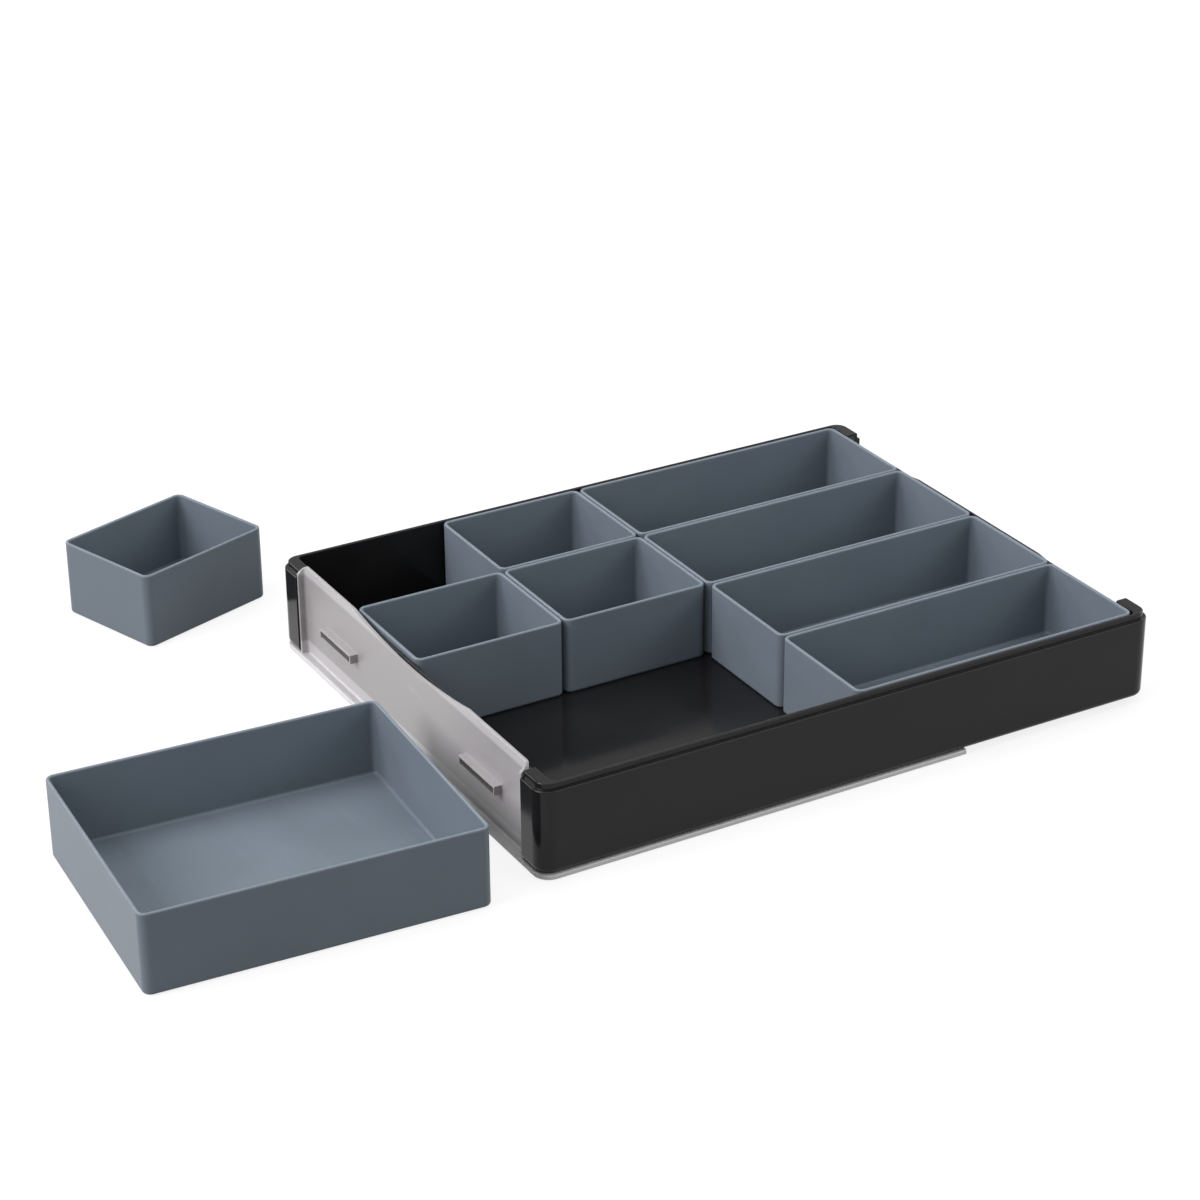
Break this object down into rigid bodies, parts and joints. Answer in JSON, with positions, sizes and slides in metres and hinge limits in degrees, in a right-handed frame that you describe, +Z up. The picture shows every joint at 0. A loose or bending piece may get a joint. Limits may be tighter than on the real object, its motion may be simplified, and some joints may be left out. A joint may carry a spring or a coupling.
{
  "type": "box insert organizer",
  "caption": "Game box organizer: an open black base tray holds lift-out grey trays of several sizes and sits on a frosted cover whose upright end flap catches on snap tabs.",
  "frame": {"origin": "on the table, under the middle of the whole set's footprint", "axes": "+X along the base tray, from the flap's end to the open end; +Y across it, towards the small tray that stands by itself; +Z up"},
  "size_m": [0.423, 0.3146, 0.041],
  "materials": {
    "frosted_plastic": "frosted, slightly see-through",
    "black_plastic": "moulded, glossy",
    "grey_plastic": "moulded, satin, slate grey"
  },
  "bodies": {
    "cover": {"cover": "frosted_plastic"},
    "base_tray": {"base_tray": "black_plastic"},
    "small_tray_1": {"small_tray_1": "grey_plastic"},
    "small_tray_2": {"small_tray_2": "grey_plastic"},
    "small_tray_3": {"small_tray_3": "grey_plastic"},
    "small_tray_4": {"small_tray_4": "grey_plastic"},
    "long_tray_1": {"long_tray_1": "grey_plastic"},
    "long_tray_2": {"long_tray_2": "grey_plastic"},
    "long_tray_3": {"long_tray_3": "grey_plastic"},
    "long_tray_4": {"long_tray_4": "grey_plastic"},
    "card_tray": {"card_tray": "grey_plastic"}
  },
  "joints": [
    {"name": "base_slide", "type": "slide", "parent": "cover", "child": "base_tray", "axis": [1, 0, 0], "range_m": [0, 0.19]},
    {"name": "small_tray_1_lift", "type": "slide", "parent": "base_tray", "child": "small_tray_1", "axis": [0, 0, 1], "range_m": [0, 0.08]},
    {"name": "small_tray_2_lift", "type": "slide", "parent": "base_tray", "child": "small_tray_2", "axis": [0, 0, 1], "range_m": [0, 0.08]},
    {"name": "small_tray_3_lift", "type": "slide", "parent": "base_tray", "child": "small_tray_3", "axis": [0, 0, 1], "range_m": [0, 0.08]},
    {"name": "long_tray_1_lift", "type": "slide", "parent": "base_tray", "child": "long_tray_1", "axis": [0, 0, 1], "range_m": [0, 0.06]},
    {"name": "long_tray_2_lift", "type": "slide", "parent": "base_tray", "child": "long_tray_2", "axis": [0, 0, 1], "range_m": [0, 0.08]},
    {"name": "long_tray_3_lift", "type": "slide", "parent": "base_tray", "child": "long_tray_3", "axis": [0, 0, 1], "range_m": [0, 0.11]},
    {"name": "long_tray_4_lift", "type": "slide", "parent": "base_tray", "child": "long_tray_4", "axis": [0, 0, 1], "range_m": [0, 0.14]},
    {"name": "small_tray_4_lift", "type": "slide", "parent": "cover", "child": "small_tray_4", "axis": [0, 0, 1], "range_m": [0, 0.08]},
    {"name": "card_tray_lift", "type": "slide", "parent": "cover", "child": "card_tray", "axis": [0, 0, 1], "range_m": [0, 0.08]}
  ]
}
